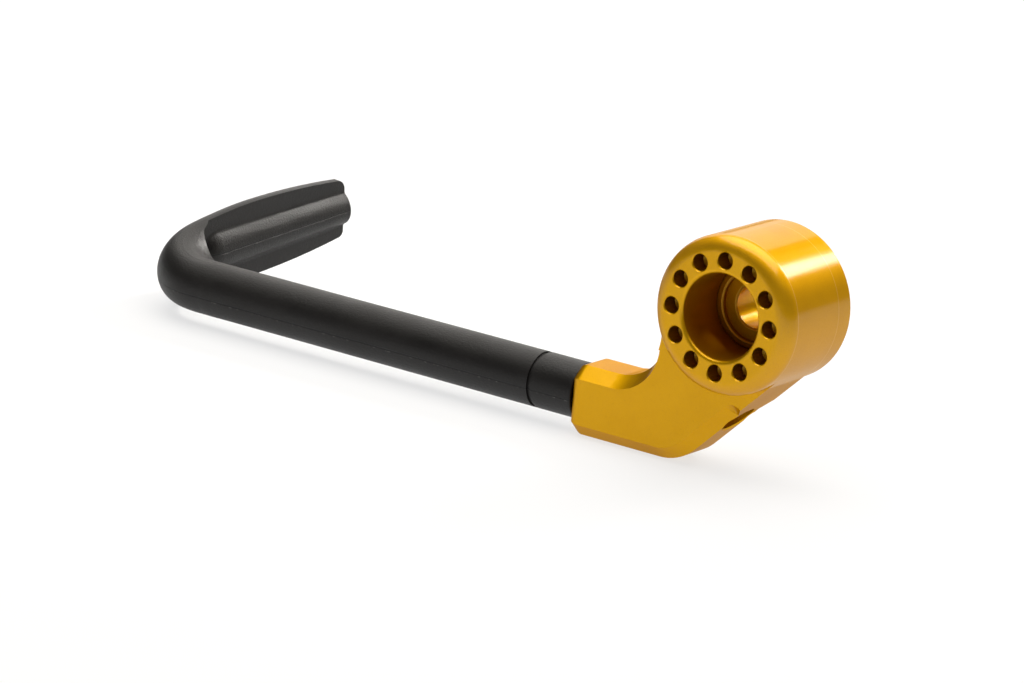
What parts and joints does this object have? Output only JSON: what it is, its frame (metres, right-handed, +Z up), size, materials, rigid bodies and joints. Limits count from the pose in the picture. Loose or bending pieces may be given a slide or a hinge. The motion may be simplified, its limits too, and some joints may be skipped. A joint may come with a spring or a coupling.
{
  "type": "clutch lever guard",
  "caption": "Bar-end lever guard for a motorcycle: a gold anodised barrel and arm that clamp a bent black moulded rod, with a recessed blade in front of the clutch lever",
  "frame": {"origin": "on the barrel's axis, in the flat face that seats on the end of the handlebar", "axes": "+X along the rod from its bend to the barrel, +Y along the barrel's axis into the handlebar, +Z up"},
  "size_m": [0.1758, 0.0697, 0.0505],
  "materials": {
    "anodised": "satin",
    "polymer": "matte",
    "steel": "satin"
  },
  "bodies": {
    "root": {"bar_end_body": "anodised", "guard_rod": "polymer", "rod_set_screw": "steel"}
  },
  "joints": []
}
